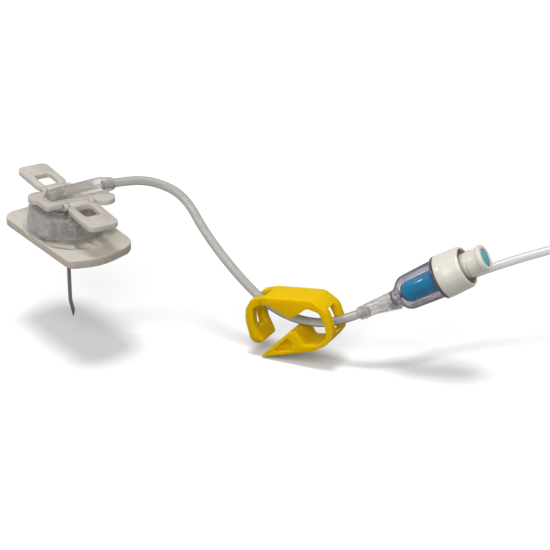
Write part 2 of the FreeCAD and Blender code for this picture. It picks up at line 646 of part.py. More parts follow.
def valve():
    """Needle-free valve: clear housing, white collar with the lock neck, and one blue silicone
    piston whose head closes the neck and springs back on its hollow body."""
    start = size("arm_length")
    cone_end, body_end = size("valve_cone_end"), size("valve_body_end")
    wall, passage = size("valve_wall"), size("line_passage_radius")
    floor = cone_end - 1.0
    spigot_end = body_end + size("valve_spigot_length")
    cavity = size("valve_spigot_radius") - size("valve_wall") / 2
    keep("valve_housing", turned("valve_housing", [
        (start, passage), (start, size("arm_radius")), (start + 0.6, size("arm_radius") + 0.15),
        (cone_end, size("valve_cone_radius")), (body_end, size("valve_body_radius")),
        (body_end, size("valve_spigot_radius")), (spigot_end, size("valve_spigot_radius")),
        (spigot_end, cavity), (cone_end, size("valve_cone_radius") - wall), (floor, size("arm_radius") + 0.6),
        (floor, passage)]), line_frame)

    core_foot = floor + size("core_flange")
    keep("valve_core", turned("valve_core", [
        (floor, passage), (floor, size("arm_radius") + 0.5), (core_foot, size("arm_radius") + 0.5),
        (core_foot, size("core_radius")), (core_foot + size("core_length"), size("core_radius")),
        (core_foot + size("core_length"), passage - 0.1), (floor + 0.01, passage - 0.1)]), line_frame)

    collar_end = body_end + size("collar_length")
    neck_end = collar_end + size("neck_length")
    shoulder_stop = collar_end - 2.0
    lip = size("neck_radius") + size("neck_lip")
    lip_start = neck_end - size("neck_lip_length")
    neck_bore = size("septum_radius") + size("septum_gap")
    keep("valve_collar", turned("valve_collar", [
        (body_end, size("valve_spigot_radius")), (body_end, size("collar_radius")),
        (collar_end - 0.6, size("collar_radius") - size("collar_draft")),
        (collar_end, size("collar_radius") - size("collar_draft") - 0.6), (collar_end, size("neck_radius")),
        (lip_start, size("neck_radius")), (lip_start, lip), (neck_end - 0.3, lip), (neck_end, lip - 0.3),
        (neck_end, neck_bore), (shoulder_stop, neck_bore), (shoulder_stop, cavity),
        (spigot_end, cavity), (spigot_end, size("valve_spigot_radius"))]), line_frame)

    head_start = shoulder_stop - size("septum_shoulder") - size("septum_gap")
    shoulder_radius = size("piston_radius") + 0.1
    keep("valve_septum", turned("valve_septum", [
        (head_start, head_start * 0), (head_start, shoulder_radius),
        (shoulder_stop - size("septum_gap"), shoulder_radius),
        (shoulder_stop - size("septum_gap"), size("septum_radius")), (neck_end - 0.2, size("septum_radius")),
        (neck_end + size("septum_dome"), size("septum_radius") / 2),
        (neck_end + size("septum_dome"), head_start * 0)]), line_frame)

    piston_start = core_foot + 0.05
    rounding = size("piston_round")
    keep("valve_piston", turned("valve_piston", [
        (piston_start, size("piston_bore_radius")), (piston_start, size("piston_radius") - rounding),
        (piston_start + rounding * 0.3, size("piston_radius") - rounding * 0.45),
        (piston_start + rounding, size("piston_radius")), (head_start, size("piston_radius")),
        (head_start, size("piston_bore_radius"))]), line_frame)


def line_connector():
    """Clear end fitting of the extension line, with a tapered socket for the next lock fitting."""
    along = (BRANCH_ROUTE[-1] - BRANCH_ROUTE[-2]).normalize()
    length, depth = size("connector_length"), size("taper_depth")
    neck = size("connector_neck_length")
    mouth = size("taper_mouth_radius")
    throat = mouth - depth * size("taper_share")
    passage = size("line_passage_radius")
    socket = size("tube_socket")
    keep("line_connector", turned("line_connector", [
        (length * 0, size("tube_radius")), (length * 0, size("connector_neck_radius")),
        (neck, size("connector_neck_radius") + 0.2), (neck + 1.4, size("connector_radius")),
        (length, size("connector_radius")), (length, mouth), (length - depth, throat),
        (length - depth, passage), (socket, passage), (socket, size("tube_radius"))]),
        frame_along(BRANCH_ROUTE[-1] - along * socket, along))


foam_pad()
shield_base()
needle()
needle_hub()
saddle()
wing("front_wing", -1)
wing("rear_wing", 1)
hinge_pin("front_hinge_pin", -1)
hinge_pin("rear_hinge_pin", 1)
tubes()
clamp()
y_piece()
valve()
line_connector()
doc.recompute()

for item in doc.Objects:
    faults = [state for state in item.State if state in ("Invalid", "Error")]
    if faults:
        raise RuntimeError("%s is %s" % (item.Name, faults))
for node, item in pieces.items():
    if item.Shape.isNull() or not item.Shape.isValid():
        raise RuntimeError("%s has no valid shape" % node)
    if len(item.Shape.Solids) != 1:
        raise RuntimeError("%s has %d solids" % (node, len(item.Shape.Solids)))

os.makedirs("parts", exist_ok=True)
for node, item in pieces.items():
    item.Shape.exportStep("parts/%s.step" % node)
print("wrote", len(pieces), "parts")
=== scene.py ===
import math
import bmesh
import bpy
from mathutils import Matrix, Vector


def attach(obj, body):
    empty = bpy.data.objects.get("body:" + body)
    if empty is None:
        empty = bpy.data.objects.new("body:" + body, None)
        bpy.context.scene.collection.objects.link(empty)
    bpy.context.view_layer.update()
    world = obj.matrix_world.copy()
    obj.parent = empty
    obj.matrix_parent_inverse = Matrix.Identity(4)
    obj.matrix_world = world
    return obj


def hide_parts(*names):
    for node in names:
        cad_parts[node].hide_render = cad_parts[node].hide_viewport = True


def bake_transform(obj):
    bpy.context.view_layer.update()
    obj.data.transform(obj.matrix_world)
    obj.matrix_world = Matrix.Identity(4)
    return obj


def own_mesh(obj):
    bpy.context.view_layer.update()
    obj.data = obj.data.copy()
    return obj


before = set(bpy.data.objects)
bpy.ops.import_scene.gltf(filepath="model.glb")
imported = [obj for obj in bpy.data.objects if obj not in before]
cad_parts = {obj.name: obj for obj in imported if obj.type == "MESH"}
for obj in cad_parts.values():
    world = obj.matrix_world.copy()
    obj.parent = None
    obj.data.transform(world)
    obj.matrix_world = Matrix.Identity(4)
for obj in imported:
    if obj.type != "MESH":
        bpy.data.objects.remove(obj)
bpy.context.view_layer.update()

# Foam pad. Closed-cell polyethylene foam about 2 mm thick, die-cut to an oblong with bowed ends and
# rounder corners on the side of the line. The cut edge bulges a little and shows its cells; the top
# has a smoother skin. It is glued under the shield base and rests on the skin.

# profiles, cuts and pattern sizes are in millimetres; edges, places and node inputs are in metres
PAD_OUTLINE = [
    (-7.7, -16.2, 2.4), (-0.4, -18.4, 12), (10.1, -14.6, 6), (10.3, -4.0, 40), (9.5, 16.4, 6),
    (1.5, 18.2, 14), (-8.7, 17.0, 4)]
PAD_CORNER_STEPS = 10
PAD_HALF_THICKNESS = 1.0
PAD_HOLE = 1.8
PUNCH_LENGTH = 6.0
FOAM_EDGE = 0.00042
FOAM_CELL = 0.3125
FOAM_MOTTLE = 3.85

TO_METRES = Matrix.Scale(0.001, 4)
SHADED_FOLD = math.radians(42)
MOST_OF_A_SIDE = 0.48
NEARLY_STRAIGHT = math.radians(89.8)


def linear(code):
    """A colour from its sRGB hex code."""
    parts = [int(code[place:place + 2], 16) / 255 for place in (1, 3, 5)]
    return [part / 12.92 if part <= 0.04045 else ((part + 0.055) / 1.055) ** 2.4 for part in parts] + [1.0]


def scale_for(size):
    """The scale that draws a pattern at this real size, in millimetres."""
    return 1000.0 / size


def add(tree, kind, sockets=None, **settings):
    """A new node with its settings, values and links."""
    made = tree.nodes.new(kind)
    for name, value in settings.items():
        setattr(made, name, value)
    for name, value in (sockets or {}).items():
        if isinstance(value, bpy.types.NodeSocket):
            tree.links.new(value, made.inputs[name])
        else:
            made.inputs[name].default_value = value
    return made


def new_finish(name, surface_sockets=None):
    """A material with its surface node, the surface's fixed values and the object's coordinates."""
    material = bpy.data.materials.new(name)
    material.use_nodes = True
    tree = material.node_tree
    tree.nodes.clear()
    surface = add(tree, "ShaderNodeBsdfPrincipled", surface_sockets)
    add(tree, "ShaderNodeOutputMaterial", {"Surface": surface.outputs["BSDF"]})
    place = add(tree, "ShaderNodeTexCoord").outputs["Object"]
    return material, tree, surface, place


def put(mesh, name, finish, body, stands_for=()):
    """A finished piece in the scene, riding on its body where it has one body alone."""
    piece = bpy.data.objects.new(name, mesh)
    bpy.context.scene.collection.objects.link(piece)
    mesh.materials.clear()
    mesh.materials.append(finish)
    if body:
        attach(piece, body)
    if stands_for:
        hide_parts(*stands_for)
    return piece


def smooth_moulding(shape, edge, steps=2, fold=35.0):
    """Turn a bmesh into a mesh with its sharp edges rounded and shaded as moulded."""
    rough = bpy.data.meshes.new("rough")
    shape.to_mesh(rough)
    shape.free()
    carrier = bpy.data.objects.new("carrier", rough)
    bpy.context.scene.collection.objects.link(carrier)
    rounding = carrier.modifiers.new("edge", "BEVEL")
    rounding.width = edge
    rounding.segments = steps
    rounding.limit_method = "ANGLE"
    rounding.angle_limit = math.radians(fold)
    rounding.miter_outer = "MITER_ARC"
    bpy.context.view_layer.update()
    mesh = bpy.data.meshes.new_from_object(carrier.evaluated_get(bpy.context.evaluated_depsgraph_get()))
    bpy.data.objects.remove(carrier)
    bpy.data.meshes.remove(rough)
    mesh.shade_smooth()
    mesh.set_sharp_from_angle(angle=SHADED_FOLD)
    return mesh


def rounded_outline(corners, steps=6):
    """Points round a closed outline of (across, up, corner radius), with each corner an arc."""
    outline = []
    for index, (across, up, radius) in enumerate(corners):
        corner = Vector((across, up))
        before = Vector(corners[index - 1][:2]) - corner
        after = Vector(corners[(index + 1) % len(corners)][:2]) - corner
        half = before.angle(after) / 2
        reach = min(radius / math.tan(half) if radius else 0,
                    MOST_OF_A_SIDE * before.length, MOST_OF_A_SIDE * after.length)
        if reach < 1e-6 or half > NEARLY_STRAIGHT:
            outline.append(corner)
            continue
        first, last = corner + before.normalized() * reach, corner + after.normalized() * reach
        centre = corner + (before.normalized() + after.normalized()).normalized() * (reach / math.cos(half))
        for step in range(steps + 1):
            swing = first.lerp(last, step / steps) - centre
            outline.append(centre + swing.normalized() * (first - centre).length)
    return outline


def slab(corners, half_width):
    """A bmesh slab with the outline across its local X and Z, in millimetres."""
    shape = bmesh.new()
    near = [shape.verts.new((point.x, -half_width, point.y)) for point in corners]
    far = [shape.verts.new((point.x, half_width, point.y)) for point in corners]
    shape.faces.new(near)
    shape.faces.new(reversed(far))
    for index in range(len(corners)):
        follower = (index + 1) % len(corners)
        shape.faces.new((near[follower], near[index], far[index], far[follower]))
    bmesh.ops.recalc_face_normals(shape, faces=shape.faces)
    return shape


def as_mesh(shape):
    """The bmesh as a mesh, unrounded."""
    mesh = bpy.data.meshes.new("plain")
    shape.to_mesh(mesh)
    shape.free()
    return mesh


def as_shape(mesh):
    """The mesh as a bmesh."""
    shape = bmesh.new()
    shape.from_mesh(mesh)
    return shape


def carved(mesh, operation, *cutters):
    """A mesh after it is joined with other meshes, cut by them or kept inside them."""
    carrier = bpy.data.objects.new("carved", mesh)
    bpy.context.scene.collection.objects.link(carrier)
    tools = []
    for cutter in cutters:
        tool = bpy.data.objects.new("tool", cutter)
        bpy.context.scene.collection.objects.link(tool)
        tools.append(tool)
        cut = carrier.modifiers.new("cut", "BOOLEAN")
        cut.operation = operation
        cut.object = tool
        cut.solver = "EXACT"
    bpy.context.view_layer.update()
    result = bpy.data.meshes.new_from_object(carrier.evaluated_get(bpy.context.evaluated_depsgraph_get()))
    for thing in [carrier] + tools:
        bpy.data.objects.remove(thing)
    return result


# closed-cell foam: matt, faint cells 0.3 mm across, warmer and darker where the cut edge shows them
foam, tree, surface, place = new_finish("closed_cell_foam", {"Roughness": 0.66, "IOR": 1.45})
cells = add(tree, "ShaderNodeTexVoronoi", {"Vector": place, "Scale": scale_for(FOAM_CELL)})
mottle = add(tree, "ShaderNodeTexNoise", {"Vector": place, "Scale": scale_for(FOAM_MOTTLE), "Detail": 3.0})
face = add(tree, "ShaderNodeNewGeometry").outputs["Normal"]
upward = add(tree, "ShaderNodeSeparateXYZ", {"Vector": face}).outputs["Z"]
lean = add(tree, "ShaderNodeMapRange", {"Value": upward, "From Min": 0.2, "From Max": 0.85})
skin = add(tree, "ShaderNodeMix", {0: mottle.outputs["Fac"], 6: linear("#B9B3A8"), 7: linear("#C8C2B7")},
           data_type="RGBA")
cut = add(tree, "ShaderNodeMix", {0: cells.outputs["Distance"], 6: linear("#A59A8E"),
                                  7: linear("#C8BDB1")}, data_type="RGBA")
both = add(tree, "ShaderNodeMix", {0: lean.outputs["Result"], 6: cut.outputs[2], 7: skin.outputs[2]},
           data_type="RGBA")
tree.links.new(both.outputs[2], surface.inputs["Base Color"])
grain = add(tree, "ShaderNodeBump", {"Height": cells.outputs["Distance"], "Strength": 0.3,
                                     "Distance": 0.00008})
tree.links.new(grain.outputs["Normal"], surface.inputs["Normal"])

pad_shape = slab(rounded_outline(PAD_OUTLINE, PAD_CORNER_STEPS), PAD_HALF_THICKNESS)
pad_shape.transform(Matrix.Translation((0, 0, PAD_HALF_THICKNESS))
                    @ Matrix.Rotation(math.radians(-90), 4, "X"))
punch = bmesh.new()
bmesh.ops.create_cone(punch, cap_ends=True, segments=48, radius1=PAD_HOLE, radius2=PAD_HOLE,
                      depth=PUNCH_LENGTH)
pad_shape = as_shape(carved(as_mesh(pad_shape), "DIFFERENCE", as_mesh(punch)))
pad_shape.transform(TO_METRES)
pad_mesh = smooth_moulding(pad_shape, FOAM_EDGE, 4)
pad = put(pad_mesh, "foam_pad_die_cut", foam, "shield", ["foam_pad"])

# Shield base. Two clear moulded shells welded at the rim: an oval cover with stiffening ribs round
# the inside of its wall and across its deck, and a thin oval plate. The base slides down the needle
# and holds the tip when it is drawn.
CLEAR_EDGE = 0.00018
WALL_PATH = (0.00655, 0.00835)
WALL_SHIFT = 0.0008
WALL_RIBS = 14
RIB_DEPTH = 0.0011
RIB_THICKNESS = 0.0006
RIB_EDGE = 0.00015
DECK_THICKNESS = 0.0009

DOUBLE_POINTS = 2e-6
FLAT = math.radians(1.0)


def merged_copy(node):
    """A bmesh of a sub-part of the frame, with its loose triangles joined."""
    shape = as_shape(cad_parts[node].data)
    bmesh.ops.remove_doubles(shape, verts=shape.verts, dist=DOUBLE_POINTS)
    bmesh.ops.dissolve_limit(shape, angle_limit=FLAT, verts=shape.verts, edges=shape.edges)
    return shape


def moulded(node, name, edge, finish, body):
    """A piece with the frame's own shape and rounded edges."""
    return put(smooth_moulding(merged_copy(node), edge), name, finish, body, [node])


def tint(band, tints):
    """Colour a band with (position, sRGB hex code) pairs."""
    band.elements[0].position, band.elements[1].position = tints[0][0], tints[-1][0]
    band.elements[0].color, band.elements[1].color = linear(tints[0][1]), linear(tints[-1][1])
    for position, code in tints[1:-1]:
        band.elements.new(position).color = linear(code)


def clear_finish(name, tints, veil, haze, streaks, bending=1.5):
    """A clear plastic: light face on and darker towards the edges of its walls, partly their thickness seen
    edge-on and partly painted shade standing in for dark surroundings reflected there, and denser towards
    the edges too. veil holds the two levels between which it thickens and its least and most cover, and
    streaks holds the streaks' size in millimetres and their strength."""
    finish, tree, surface, place = new_finish(name, {
        "Roughness": 0.07, "IOR": bending, "Specular IOR Level": 0.12, "Transmission Weight": haze})
    edge_on = add(tree, "ShaderNodeLayerWeight", {"Blend": 0.5}).outputs["Facing"]
    flow = add(tree, "ShaderNodeTexNoise", {"Vector": place, "Scale": scale_for(streaks[0]), "Detail": 3.0})
    stray = add(tree, "ShaderNodeMath", {0: flow.outputs["Fac"], 1: streaks[1], 2: -streaks[1] / 2},
                operation="MULTIPLY_ADD")
    level = add(tree, "ShaderNodeMath", {0: edge_on, 1: stray.outputs[0]}, operation="ADD",
                use_clamp=True).outputs[0]
    # painted shade: the colour darkens with the facing angle towards the silhouette, moved about at random
    # by the streaks
    painted_edge_shade = add(tree, "ShaderNodeValToRGB", {"Fac": level})
    tint(painted_edge_shade.color_ramp, tints)
    tree.links.new(painted_edge_shade.outputs["Color"], surface.inputs["Base Color"])
    cover = add(tree, "ShaderNodeMapRange", {"Value": level, "From Min": veil[0], "From Max": veil[1],
                                             "To Min": veil[2], "To Max": veil[3]})
    tree.links.new(cover.outputs["Result"], surface.inputs["Alpha"])
    ripple = add(tree, "ShaderNodeBump", {"Height": flow.outputs["Fac"], "Strength": 0.25,
                                          "Distance": 0.0001})
    tree.links.new(ripple.outputs["Normal"], surface.inputs["Normal"])
    return finish


def new_rule(name, sizes):
    """An empty Geometry Nodes tree with named size inputs, a finish input and its outlet."""
    rule = bpy.data.node_groups.new(name, "GeometryNodeTree")
    for label, kind in sizes:
        rule.interface.new_socket(label, in_out="INPUT", socket_type=kind)
    rule.interface.new_socket("Finish", in_out="INPUT", socket_type="NodeSocketMaterial")
    rule.interface.new_socket("Geometry", in_out="OUTPUT", socket_type="NodeSocketGeometry")
    given = add(rule, "NodeGroupInput").outputs
    return rule, given, add(rule, "NodeGroupOutput")


def made_by(rule, values):
    """The plain mesh that a Geometry Nodes tree gives for these input values."""
    carrier = bpy.data.objects.new("carrier", bpy.data.meshes.new("seed"))
    bpy.context.scene.collection.objects.link(carrier)
    growth = carrier.modifiers.new("growth", "NODES")
    growth.node_group = rule
    for item in rule.interface.items_tree:
        if item.in_out == "INPUT":
            growth[item.identifier] = values[item.name]
    bpy.context.view_layer.update()
    mesh = bpy.data.meshes.new_from_object(carrier.evaluated_get(bpy.context.evaluated_depsgraph_get()))
    carrier.modifiers.remove(growth)
    bpy.data.objects.remove(carrier)
    return mesh


# clear co-polyester: glassy warm grey, darkened towards its edges with painted shade that dark 1 mm streaks
# move about at random in the thick cover, and almost colourless in the thin plate
base_clear = clear_finish("thick_clear_copolyester", (
    (0.0, "#DCD7D2"), (0.3, "#CAC5C0"), (0.55, "#B4AEA9"), (0.75, "#8F8984"), (1.0, "#5E5855")),
    veil=(0.3, 0.85, 0.4, 0.9), haze=0.55, streaks=(1.0, 1.5))
plate_clear = clear_finish("thin_clear_copolyester", (
    (0.0, "#F1F0EE"), (0.62, "#E6E4E1"), (0.85, "#B5B1AF"), (1.0, "#7E797A")),
    veil=(0.6, 0.95, 0.16, 0.75), haze=0.85, streaks=(2.38, 0.2))

rule, given, outlet = new_rule("ribs_round_an_oval", (
    ("Half Width", "NodeSocketFloat"), ("Half Length", "NodeSocketFloat"), ("Foot", "NodeSocketVector"),
    ("Rib Count", "NodeSocketInt"), ("Rib Size", "NodeSocketVector")))
stretch = add(rule, "ShaderNodeCombineXYZ", {"X": given["Half Width"], "Y": given["Half Length"], "Z": 1.0})
circle = add(rule, "GeometryNodeCurvePrimitiveCircle", {"Resolution": 96, "Radius": 1.0})
oval = add(rule, "GeometryNodeTransform", {"Geometry": circle.outputs["Curve"], "Scale": stretch.outputs[0],
                                           "Translation": given["Foot"]})
stations = add(rule, "GeometryNodeResampleCurve", {"Curve": oval.outputs[0], "Count": given["Rib Count"]})
along = add(rule, "GeometryNodeInputTangent")
turn = add(rule, "FunctionNodeAlignRotationToVector", {"Vector": along.outputs[0]}, axis="Y",
           pivot_axis="Z")
rib = add(rule, "GeometryNodeMeshCube", {"Size": given["Rib Size"]})
half = add(rule, "ShaderNodeVectorMath", {0: given["Rib Size"], 1: (0.0, 0.0, 0.5)}, operation="MULTIPLY")
standing = add(rule, "GeometryNodeTransform", {"Geometry": rib.outputs["Mesh"],
                                               "Translation": half.outputs[0]})
row = add(rule, "GeometryNodeInstanceOnPoints", {"Points": stations.outputs[0],
                                                 "Instance": standing.outputs[0],
                                                 "Rotation": turn.outputs[0]})
real = add(rule, "GeometryNodeRealizeInstances", {"Geometry": row.outputs[0]})
dressed = add(rule, "GeometryNodeSetMaterial", {"Geometry": real.outputs[0], "Material": given["Finish"]})
rule.links.new(dressed.outputs[0], outlet.inputs[0])

moulded("base_plate", "shield_base_plate", CLEAR_EDGE, plate_clear, "shield")
cover = moulded("base_cover", "shield_base_cover", CLEAR_EDGE, base_clear, "shield")
foot = min(vertex.co.z for vertex in cover.data.vertices)
height = max(vertex.co.z for vertex in cover.data.vertices) - foot
wall_ribs = made_by(rule, {
    "Half Width": WALL_PATH[0], "Half Length": WALL_PATH[1], "Foot": (0.0, WALL_SHIFT, foot),
    "Rib Count": WALL_RIBS, "Rib Size": (RIB_DEPTH, RIB_THICKNESS, height - DECK_THICKNESS),
    "Finish": base_clear})
put(smooth_moulding(as_shape(wall_ribs), RIB_EDGE), "shield_wall_ribs", base_clear, "shield")

# Tip clip. A bent strip of spring steel on the base plate whose free end leans on the needle; it
# springs over the hole once the tip has passed.
CLIP_EDGE = 0.00006
ROLLING_LINE = (0.185, 0.185, 2.78)

# rolled and drawn stainless steel: dull, with fine lines up and down it, shown 0.2 mm wide, for the
# real ones are too fine to show
steel, tree, surface, place = new_finish("drawn_stainless_steel", {"Metallic": 1.0})
stretched = add(tree, "ShaderNodeMapping", {"Vector": place,
                                            "Scale": [scale_for(size) for size in ROLLING_LINE]})
lines = add(tree, "ShaderNodeTexNoise", {"Vector": stretched.outputs["Vector"], "Scale": 1.0,
                                         "Detail": 3.0})
tone = add(tree, "ShaderNodeMix", {0: lines.outputs["Fac"], 6: linear("#48484A"), 7: linear("#6E6E70")},
           data_type="RGBA")
tree.links.new(tone.outputs[2], surface.inputs["Base Color"])
spread = add(tree, "ShaderNodeMapRange", {"Value": lines.outputs["Fac"], "To Min": 0.24, "To Max": 0.42})
tree.links.new(spread.outputs["Result"], surface.inputs["Roughness"])

moulded("tip_clip", "spring_tip_clip", CLIP_EDGE, steel, "shield")

# Needle. Drawn stainless tube, 0.9 mm outside, with its tip bent so that the bevel's heel opens a
# septum without coring it. It is bonded into the hub with clear adhesive.
NEEDLE_EDGE = 0.00003

moulded("needle", "drawn_needle", NEEDLE_EDGE, steel, "root")

# Hub. A clear lying barrel with the line bonded into its nose and the needle into its boss. It is
# one moulding, and the frosted carrier is fixed over it.

# clear co-polyester full of bonding adhesive: see-through but grey, darker towards its edges with painted
# shade, with streaks of brighter glue
bonded = clear_finish("bonded_clear_copolyester", (
    (0.0, "#D2CEC8"), (0.3, "#C8C4BE"), (0.55, "#B9B4AE"), (0.75, "#938C85"), (1.0, "#544D47")),
    veil=(0.2, 0.75, 0.5, 0.92), haze=0.5, streaks=(1.11, 0.8), bending=1.3)

moulded("needle_hub", "clear_hub", CLEAR_EDGE, bonded, "root")

# Carrier and wings. Frosted flexible mouldings: the carrier straddles the hub and holds both wing
# hinges, and each wing has a window by its hinge and ribs at its finger end. Clear pins hold them.
FROST = 0.385
PIN_EDGE = 0.00008

# frosted polypropylene: milky, satin, greyer along its edges; its frost is drawn 0.4 mm wide, for
# the real one is too fine to show
frosted, tree, surface, place = new_finish("frosted_polypropylene", {
    "Roughness": 0.4, "IOR": 1.49, "Transmission Weight": 0.25, "Alpha": 0.88})
edge_on = add(tree, "ShaderNodeLayerWeight", {"Blend": 0.45})
milk = add(tree, "ShaderNodeMix", {0: edge_on.outputs["Facing"], 6: linear("#DED7CE"),
                                   7: linear("#B5AEA4")}, data_type="RGBA")
tree.links.new(milk.outputs[2], surface.inputs["Base Color"])
frost = add(tree, "ShaderNodeTexNoise", {"Vector": place, "Scale": scale_for(FROST), "Detail": 2.0})
etched = add(tree, "ShaderNodeBump", {"Height": frost.outputs["Fac"], "Strength": 0.3,
                                      "Distance": 0.00005})
tree.links.new(etched.outputs["Normal"], surface.inputs["Normal"])

moulded("saddle", "frosted_carrier", CLEAR_EDGE, frosted, "root")
for side in ("front", "rear"):
    moulded(side + "_wing", side + "_grip_wing", CLEAR_EDGE, frosted, side + "_wing")
    moulded(side + "_hinge_pin", side + "_wing_pin", PIN_EDGE, bonded, "root")

# Lines. Clear soft PVC tubing, 2.1 mm outside, bonded into the hub's nose and the Y-piece. The main
# line falls from the hub in one slack curve and rises through the clamp; the extension line leaves
# the Y-piece's branch and runs on past the valve.
TUBE_RADIUS = 0.00105
TUBE_WAVER = 2.0
MAIN_LINE = [
    (0.0095, 0.0, 0.0110), (0.0160, 0.0, 0.0110), (0.0221, -0.0025, 0.0102), (0.0273, -0.0069, 0.0070),
    (0.0289, -0.0136, -0.0007), (0.0320, -0.0222, -0.0083), (0.0359, -0.0286, -0.0143),
    (0.0402, -0.0355, -0.0169), (0.0453064, -0.0436832, -0.0157440), (0.0504428, -0.0492691, -0.0110938)]
EXTENSION_LINE = [
    (0.0550472, -0.0507892, -0.0104222), (0.0614730, -0.0525852, -0.0098113), (0.0729, -0.0538, -0.0070),
    (0.0844, -0.0574, -0.0040), (0.0932, -0.0611, -0.0019), (0.0982, -0.0631, -0.0006)]


def tubing_finish(name, tints, cover):
    """Plasticised PVC: soft sheen, see-through, darker along both edges with painted shade, and paler round
    a darker core where its bore shows.
    """
    finish, tree, surface, place = new_finish(name, {"Roughness": 0.2, "IOR": 1.53, "Alpha": cover,
                                                     "Transmission Weight": 0.35})
    edge_on = add(tree, "ShaderNodeLayerWeight", {"Blend": 0.5}).outputs["Facing"]
    # painted shade: the colour darkens with the facing angle towards both edges of the tube
    tube_edge_shade = add(tree, "ShaderNodeValToRGB", {"Fac": edge_on})
    tint(tube_edge_shade.color_ramp, tints)
    tree.links.new(tube_edge_shade.outputs["Color"], surface.inputs["Base Color"])
    waver = add(tree, "ShaderNodeTexNoise", {"Vector": place, "Scale": scale_for(TUBE_WAVER),
                                             "Detail": 1.0})
    haze = add(tree, "ShaderNodeBump", {"Height": waver.outputs["Fac"], "Strength": 0.12,
                                        "Distance": 0.0001})
    tree.links.new(haze.outputs["Normal"], surface.inputs["Normal"])
    return finish


def soft_line(name, route, finish, stands_for):
    """A round line on one smooth curve through its route's control points."""
    curve = bpy.data.curves.new(name, "CURVE")
    curve.dimensions = "3D"
    spline = curve.splines.new("NURBS")
    spline.points.add(len(route) - 1)
    for point, place in zip(spline.points, route):
        point.co = (*place, 1.0)
    spline.order_u = 3
    spline.use_endpoint_u = True
    spline.resolution_u = 16
    curve.bevel_depth = TUBE_RADIUS
    curve.bevel_resolution = 8
    curve.use_fill_caps = True
    line = bpy.data.objects.new(name, curve)
    bpy.context.scene.collection.objects.link(line)
    curve.materials.append(finish)
    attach(line, "root")
    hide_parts(*stands_for)
    return line


# the extension line carries air and shows paler than the main line
main_pvc = tubing_finish("clear_soft_pvc", (
    (0.0, "#A9A8A1"), (0.2, "#C8C7C0"), (0.45, "#B0AFA8"), (0.7, "#807F77"), (1.0, "#57564F")), cover=0.94)
pale_pvc = tubing_finish("clear_soft_pvc_extension", (
    (0.0, "#CFCFCC"), (0.25, "#E2E2DF"), (0.6, "#D2D2CF"), (1.0, "#9B9B97")), cover=0.86)
main_line = soft_line("main_line", MAIN_LINE, main_pvc, ["tube_main", "tube_pinch", "tube_tail"])
extension = soft_line("extension_line", EXTENSION_LINE, pale_pvc, ["tube_extension"])

# Pinch clamp. One yellow moulded strip, open: it turns back on itself in a slotted bow, two noses
# face each other across the line, and the pointed lower jaw snaps behind the catch of the latch arm.
CLAMP_PLACE = Vector((0.0400, -0.0355, -0.0167))
CLAMP_HEADING = math.radians(-59.2)
CLAMP_PITCH = math.radians(13.8)
CLAMP_HALF_WIDTH = 3.75
CLAMP_OUTLINE = [
    (9.0, -0.5, 0), (8.2, 3.0, 1.4), (5.3, 4.2, 1.6), (2.0, 2.4, 1.2), (0.1, 1.9, 0.5), (-4.6, 5.5, 1.0),
    (-7.4, 5.2, 0.8), (-8.8, 4.7, 1.6), (-9.5, 0.5, 4.0), (-8.8, -2.6, 0.6), (-8.3, -4.0, 0.4),
    (-10.2, -4.5, 0.8), (-11.1, -2.8, 2.0), (-11.3, 2.0, 6.0), (-10.5, 4.7, 2.4), (-8.6, 6.9, 1.2),
    (-5.0, 7.2, 1.2), (6.9, 5.9, 2.5), (10.0, 3.1, 2.5), (10.5, -0.5, 3.0), (10.5, -2.9, 2.6),
    (8.2, -5.0, 2.6), (4.5, -6.3, 3.0), (-9.1, -7.4, 0.25), (-9.1, -7.0, 0.25), (-0.4, -1.45, 0.5),
    (1.0, -1.45, 0.5), (2.2, -4.9, 0.8), (6.1, -5.0, 1.6), (8.8, -3.0, 1.6)]
BOW_SLOT = ((7.4, -1.7, -2.7), (30, 1.7, 3.3))
ARM_SLOT = ((-30, -1.7, -0.6), (-5.6, 1.7, 13))
JAW_POCKET = [(-6.1, -6.15, 0.3), (-1.5, -2.95, 0.5), (-0.5, -4.0, 0.6), (-1.0, -6.05, 0.5)]
POCKET_DEPTH = 0.9
ARM_ZONE = ((-30, -9, -4.9), (-6.5, 9, 20))
ARM_END = [(-3.76, 20, 0), (3.76, 20, 0), (3.76, -4.6, 2.2), (-3.76, -4.6, 2.2)]
ARM_END_REACH = 30
ARM_BEND = ((-10.5, 0, 5.5), (-10.5, 0, 3.9))
BOW_BEND = ((9.0, 0, 0.9), (9.0, 0, -1.2))
CLAMP_DOUBLE_POINTS = 0.002
CLAMP_EDGE = 0.00042
CLAMP_FOLD = 40.0
MOULDING_SWIRL = 6.25
ORANGE_PEEL = 0.455


def block(low, high):
    """A plain box mesh between two corners, used only to cut with."""
    shape = bmesh.new()
    bmesh.ops.create_cube(shape, size=1.0)
    for vertex in shape.verts:
        vertex.co = Vector([(low[axis] + high[axis]) / 2 + vertex.co[axis] * (high[axis] - low[axis])
                            for axis in range(3)])
    return as_mesh(shape)


# yellow acetal: saturated, satin, with a soft highlight and a faint moulding flow
yellow, tree, surface, place = new_finish("yellow_acetal", {
    "Roughness": 0.6, "IOR": 1.48, "Specular IOR Level": 0.06, "Subsurface Weight": 0.6,
    "Subsurface Scale": 0.0022, "Subsurface Radius": (1.0, 0.7, 0.2)})
swirl = add(tree, "ShaderNodeTexNoise", {"Vector": place, "Scale": scale_for(MOULDING_SWIRL),
                                         "Detail": 3.0})
hue = add(tree, "ShaderNodeMix", {0: swirl.outputs["Fac"], 6: linear("#DBB000"), 7: linear("#E7BC00")},
          data_type="RGBA")
tree.links.new(hue.outputs[2], surface.inputs["Base Color"])
pebble = add(tree, "ShaderNodeTexNoise", {"Vector": place, "Scale": scale_for(ORANGE_PEEL), "Detail": 2.0})
orange_peel = add(tree, "ShaderNodeBump", {"Height": pebble.outputs["Fac"], "Strength": 0.12,
                                           "Distance": 0.00004})
tree.links.new(orange_peel.outputs["Normal"], surface.inputs["Normal"])

